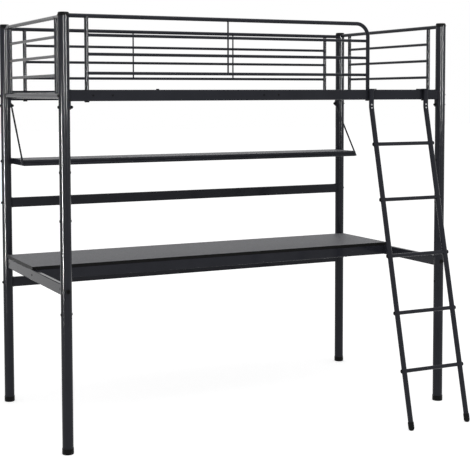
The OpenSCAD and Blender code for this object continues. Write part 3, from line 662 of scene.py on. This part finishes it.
def side_rail_boxes():
    """The two boxes of the desk's side rails, one in line with each pair of posts."""
    low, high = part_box("desk_side_rails")
    half = high.x - POST_X
    boxes = []
    for s in BOTH:
        first = Vector((s * POST_X - half, low.y, low.z))
        last = Vector((s * POST_X + half, high.y, high.z))
        boxes.append((first, last))
    return boxes


SECTION_EDGE = 2.5 * MM
for box_node in ("front_rail", "back_rail", "upper_back_stretcher", "lower_back_stretcher",
                 "shelf_back_rail", "desk_front_beam", "desk_back_beam"):
    box_piece(box_node, SECTION_EDGE)
box_piece("desk_side_rails", SECTION_EDGE, side_rail_boxes())


# ---------------------------------------------------------------- boards

BOARD_EDGE = 0.6 * MM
BAND_T = 0.8 * MM       # how far the band stands out round its board
BAND_EDGE = 0.5 * MM
BAND_SINK = 0.02 * MM   # how far the band stays below the board's top and above its underside


def board(node, bands):
    """A board with eased edges, and a dark band round the edges that show."""
    low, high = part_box(node)
    inset = Vector((BAND_T, BAND_T, 0)) if bands else Vector((0, 0, 0))
    box_piece(node, BOARD_EDGE, [(low + inset, high - inset)], all_edges=True)
    if not bands:
        return
    depth = 2 * BAND_T
    strips = [
        (low, Vector((low.x + depth, high.y, high.z))),
        (Vector((high.x - depth, low.y, low.z)), high),
        (low, Vector((high.x, low.y + depth, high.z))),
        (Vector((low.x, high.y - depth, low.z)), high),
    ]
    sunk = Vector((0, 0, BAND_SINK))
    work = bmesh.new()
    for first, last in strips:
        rolled_box(work, first + sunk, last - sunk, BAND_EDGE, all_edges=True)
    mesh = bpy.data.meshes.new(node + "_band")
    work.to_mesh(mesh)
    work.free()
    finish_piece(node + "_band", mesh, body_of_node(node), PLASTIC)


board("desk_board", bands=True)
board("shelf_board", bands=False)


# ------------------------------------------------------------------ slats

SLAT_COUNT = 14


def slat_row():
    """Pressed steel slats: rounded channels, open below, with a groove pressed along the top."""
    low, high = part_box("slats")
    depth = high.z - low.z
    width = 38 * MM
    wall = 1.2 * MM
    corner = 3 * MM
    groove = 2 * MM
    half = width / 2
    arc_steps = 5
    arc = [math.radians(90 / arc_steps * k) for k in range(arc_steps + 1)]

    def skin(inset):
        """Half of the section's outline, from its foot over the corner to the groove."""
        r = corner - inset
        side = [(half - inset, 0)]
        side += [(half - corner + r * math.cos(t), depth - corner + r * math.sin(t)) for t in arc]
        side += [(3 * groove, depth - inset), (groove, depth - groove - inset), (0, depth - groove - inset)]
        return side

    right = skin(0)
    outside = right + [(-x, z) for x, z in reversed(right[:-1])]
    lower = skin(wall)
    inside = lower + [(-x, z) for x, z in reversed(lower[:-1])]
    outline = outside + inside[::-1]
    work = bmesh.new()
    first = [work.verts.new((low.x + half + x, low.y, low.z + z)) for x, z in outline]
    last = [work.verts.new((low.x + half + x, high.y, low.z + z)) for x, z in outline]
    count = len(outline)
    for k in range(count):
        work.faces.new((first[k], first[(k + 1) % count], last[(k + 1) % count], last[k]))
    half_count = count // 2
    for ring in (first, last):
        for k in range(half_count - 1):
            work.faces.new((ring[k], ring[k + 1], ring[count - 2 - k], ring[count - 1 - k]))
    mesh = bpy.data.meshes.new("slat")
    work.to_mesh(mesh)
    work.free()
    pitch = (high.x - low.x - width) / (SLAT_COUNT - 1)
    row = grow("slat_row", mesh, ROW, STEEL, {"Count": SLAT_COUNT, "Pitch": pitch})
    finish_piece("slat_row", row, "frame", STEEL, "slats")


slat_row()


# ------------------------------------------------------ bolt heads and screws

def turned(name, rings, count=24):
    """A turned shape from (radius, height, hexagonal) rings, closed at both ends."""
    work = bmesh.new()
    loops = []
    for radius, height, hexagonal in rings:
        loop = []
        for k in range(count):
            angle = 2 * math.pi * k / count
            reach = radius / math.cos(angle % (math.pi / 3) - math.pi / 6) if hexagonal else radius
            loop.append(work.verts.new((reach * math.cos(angle), reach * math.sin(angle), height)))
        loops.append(loop)
    for lower, upper in zip(loops, loops[1:]):
        for k in range(count):
            work.faces.new((lower[k], lower[(k + 1) % count], upper[(k + 1) % count], upper[k]))
    work.faces.new(list(reversed(loops[0])))
    work.faces.new(loops[-1])
    mesh = bpy.data.meshes.new(name)
    work.to_mesh(mesh)
    work.free()
    return mesh


def socket_head(radius, height, seat, hexagon, depth):
    """Rings of a domed head with a hexagon socket, its foot sunk by its seat."""
    land = 0.6 * MM
    chamfer = 0.3 * MM
    steps = 5
    ball = (radius ** 2 + height ** 2) / (2 * height)
    rings = [(radius, -seat, False), (radius, 0, False)]
    for k in range(1, steps + 1):
        r = radius + (hexagon + land - radius) * k / steps
        rings.append((r, math.sqrt(ball ** 2 - r ** 2) - (ball - height), False))
    rim = rings[-1][1]
    return rings + [(hexagon, rim - chamfer, True), (hexagon, rim - depth, True)]


def placed(name, mesh, places, body, slot, *replaced):
    """Copies of a pattern at places, each a point and the way it faces."""
    pattern = bpy.data.objects.new(name + "_pattern", mesh)
    bpy.context.scene.collection.objects.link(pattern)
    spots = bpy.data.meshes.new(name + "_places")
    spots.from_pydata([tuple(point) for point, _ in places], [], [])
    ways = [value for _, way in places for value in way]
    spots.attributes.new("facing", "FLOAT_VECTOR", "POINT").data.foreach_set("vector", ways)
    made = grow(name, spots, COPIES, slot, {"Pattern": pattern})
    bpy.data.objects.remove(pattern)
    finish_piece(name, made, body, slot, *replaced)


HEAD_R = 7.5 * MM
HEAD_H = 6 * MM
HEAD_SEAT = 1.5 * MM
HEAD_HEXAGON = 2.5 * MM
HEAD_SOCKET = 3 * MM


def rail_bolt_places():
    """Outside each post, at the heights of the two bolts that hold a bed rail."""
    low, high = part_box("bed_rail_bolts")
    return [((s * POST_X + s * POST_R, y, z), (s, 0, 0)) for s in BOTH for y in (FRONT_Y, BACK_Y)
            for z in (low.z + HEAD_R, high.z - HEAD_R)]


def stretcher_bolt_places():
    """Outside each back post, at the height of every rail between the two."""
    rows = ("upper_back_stretcher", "lower_back_stretcher", "shelf_back_rail")
    heights = [sum(corner.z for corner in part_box(row)) / 2 for row in rows]
    return [((s * POST_X + s * POST_R, BACK_Y, z), (s, 0, 0)) for s in BOTH for z in heights]


bolt_head = turned("bolt_head", socket_head(HEAD_R, HEAD_H, HEAD_SEAT, HEAD_HEXAGON, HEAD_SOCKET))
placed("bed_rail_bolt_heads", bolt_head, rail_bolt_places(), "frame", PLASTIC, "bed_rail_bolts")
placed("stretcher_bolt_heads", bolt_head, stretcher_bolt_places(), "frame", PLASTIC, "stretcher_bolts")


def knee_screw_places():
    """Small screws in the stringers' fronts, turned outwards, just above and below the knee."""
    above = 11 * MM
    below = 7 * MM
    aside = math.radians(25)
    outward = Vector((-math.sin(aside), -math.cos(aside), 0))
    front = Vector((-math.sin(aside), -math.cos(aside), math.cos(aside) * LEAN)).normalized()
    spots = []
    for x in STRINGER_XS:
        top = Vector((x, STRINGER_Y, KNEE_Z + above))
        knee = Vector((x, STRINGER_Y, KNEE_Z))
        spots.append((top + outward * STRINGER_R, tuple(outward)))
        spots.append((knee + DOWN_STRINGER * below + front * STRINGER_R, tuple(front)))
    return spots


def spare_hole_places():
    """Buttons in the side rails' spare holes, near the front posts."""
    low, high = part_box("desk_side_rails")
    from_post = 34 * MM
    return [((s * high.x, low.y + from_post, (low.z + high.z) / 2), (s, 0, 0)) for s in BOTH]


button_rings = [
    (4.5 * MM, -1 * MM, False),
    (4.5 * MM, 0.4 * MM, False),
    (3.8 * MM, 0.9 * MM, False),
    (2 * MM, 0.9 * MM, False),
    (1.8 * MM, 0.5 * MM, False),
]
button = turned("hole_button", button_rings)
placed("side_rail_buttons", button, spare_hole_places(), "frame", PLASTIC)

screw_rings = socket_head(radius=3.5 * MM, height=1.6 * MM, seat=0.6 * MM, hexagon=1.2 * MM, depth=0.8 * MM)
knee_screw = turned("knee_screw", screw_rings, count=18)
placed("ladder_knee_screws", knee_screw, knee_screw_places(), "ladder", ZINC)


# ------------------------------------------- nodes that keep their own shape

for node_name in frame["nodes"]:
    if node_name not in STANDS_FOR:
        smooth_copy(node_name)


# ------------------------------------------------------------------- studio

DAYLIGHT = 0.6
FLOOR_HALF = 40.0
FLOOR_TONE = (0.8, 0.8, 0.8, 1)
FLOOR_GLOW = 0.62       # lifts the floor to white for the eye, and leaves its shadow


def daylight():
    """White surroundings for the eye and for reflections, plain soft light for the rest."""
    world = bpy.data.worlds.new("studio")
    bpy.context.scene.world = world
    world.use_nodes = True
    tree = world.node_tree
    ground = tree.nodes["Background"]
    ground.inputs["Strength"].default_value = DAYLIGHT
    seen = add_node(tree, "ShaderNodeBackground", Strength=1.0)
    mix = tree.nodes.new("ShaderNodeMixShader")
    tree.links.new(seen_directly(tree), mix.inputs["Fac"])
    tree.links.new(ground.outputs["Background"], mix.inputs[1])
    tree.links.new(seen.outputs["Background"], mix.inputs[2])
    tree.links.new(mix.outputs["Shader"], tree.nodes["World Output"].inputs["Surface"])
    ground.inputs["Color"].default_value = WHITE
    seen.inputs["Color"].default_value = WHITE


def seen_directly(tree):
    """1 for camera, glossy and transmission rays, 0 for diffuse light."""
    path = tree.nodes.new("ShaderNodeLightPath")
    first = tree.nodes.new("ShaderNodeMath")
    first.operation = "MAXIMUM"
    both = tree.nodes.new("ShaderNodeMath")
    both.operation = "MAXIMUM"
    tree.links.new(path.outputs["Is Camera Ray"], first.inputs[0])
    tree.links.new(path.outputs["Is Glossy Ray"], first.inputs[1])
    tree.links.new(first.outputs["Value"], both.inputs[0])
    tree.links.new(path.outputs["Is Transmission Ray"], both.inputs[1])
    return both.outputs["Value"]


def pale_floor():
    """A wide floor that looks white to the eye and in reflections, and takes the bed's shadow."""
    half = FLOOR_HALF
    corners = [(-half, -half, 0), (half, -half, 0), (half, half, 0), (-half, half, 0)]
    mesh = bpy.data.meshes.new("floor")
    mesh.from_pydata(corners, [], [(0, 1, 2, 3)])
    floor = bpy.data.objects.new("floor", mesh)
    bpy.context.scene.collection.objects.link(floor)
    mat = bpy.data.materials.new("pale_floor")
    mat.use_nodes = True
    tree = mat.node_tree
    shader = tree.nodes["Principled BSDF"]
    shader.inputs["Base Color"].default_value = FLOOR_TONE
    shader.inputs["Roughness"].default_value = 0.9
    shader.inputs["Specular IOR Level"].default_value = 0.0
    shader.inputs["Emission Color"].default_value = WHITE
    glow = tree.nodes.new("ShaderNodeMath")
    glow.operation = "MULTIPLY"
    glow.inputs[1].default_value = FLOOR_GLOW
    tree.links.new(seen_directly(tree), glow.inputs[0])
    tree.links.new(glow.outputs["Value"], shader.inputs["Emission Strength"])
    mesh.materials.append(mat)


def panel_light(name, place, target, width, height, watts):
    """A soft rectangular lamp that the camera doesn't see."""
    data = bpy.data.lights.new(name, "AREA")
    data.shape = "RECTANGLE"
    data.size = width
    data.size_y = height
    data.energy = watts
    lamp = bpy.data.objects.new(name, data)
    bpy.context.scene.collection.objects.link(lamp)
    lamp.location = place
    lamp.rotation_euler = (Vector(target) - Vector(place)).to_track_quat("-Z", "Y").to_euler()
    lamp.visible_camera = False
    return lamp


def tall_strip(name, x, y, low, high, width, watts, pieces):
    """An upright strip lamp that faces the bed and only shows as a streak down some upright tubes."""
    middle = (low + high) / 2
    strip = panel_light(name, (x, y, middle), (0, MID_Y, middle), width, high - low, watts)
    shine_on(strip, pieces)


def shine_on(lamp, pieces):
    """Makes a lamp a reflection on some pieces and nothing else."""
    lamp.visible_diffuse = False
    lamp.light_linking.receiver_collection = pieces


def camera():
    """Stands at the front left, about as high as the bed rails, and looks across the bed."""
    yaw = math.radians(25.792)
    pitch = math.radians(-3.542)
    roll = math.radians(-0.148)
    data = bpy.data.cameras.new("camera")
    data.lens = 86.44
    data.shift_x = 0.0291
    data.shift_y = -0.15
    data.clip_end = 100
    cam = bpy.data.objects.new("camera", data)
    bpy.context.scene.collection.objects.link(cam)
    cam.location = (-2.42729, MID_Y - 5.00513, 1.52609)
    cam.rotation_mode = "QUATERNION"
    heading = Matrix.Rotation(-yaw, 3, "Z")
    tilt = Matrix.Rotation(math.pi / 2 + pitch, 3, "X")
    turn = heading @ tilt @ Matrix.Rotation(roll, 3, "Z")
    cam.rotation_quaternion = turn.to_quaternion()
    bpy.context.scene.camera = cam


daylight()
pale_floor()
camera()
tall_strip("left_strip", x=-5.0, y=MID_Y - 1.55, low=0.02, high=1.45, width=0.3, watts=800,
           pieces=LEFT_UPRIGHTS)
tall_strip("front_strip", x=-4.1, y=MID_Y - 10.0, low=1.3, high=2.9, width=0.25, watts=775,
           pieces=UPRIGHTS)
tall_strip("right_strip", x=3.4, y=MID_Y - 7.0, low=1.3, high=2.7, width=0.3, watts=620,
           pieces=UPRIGHTS)
end_lamp = panel_light("back_left", place=(-2.5, MID_Y + 2.6, 2.6), target=(-0.96, MID_Y, 1.6),
                       width=1.4, height=1.6, watts=18)
shine_on(end_lamp, LEFT_END)
panel_light("overhead", place=(0, MID_Y - 1.0, 4.5), target=(0, MID_Y, 0.8), width=3.0, height=3.0, watts=40)
bpy.context.scene.view_settings.view_transform = "Standard"
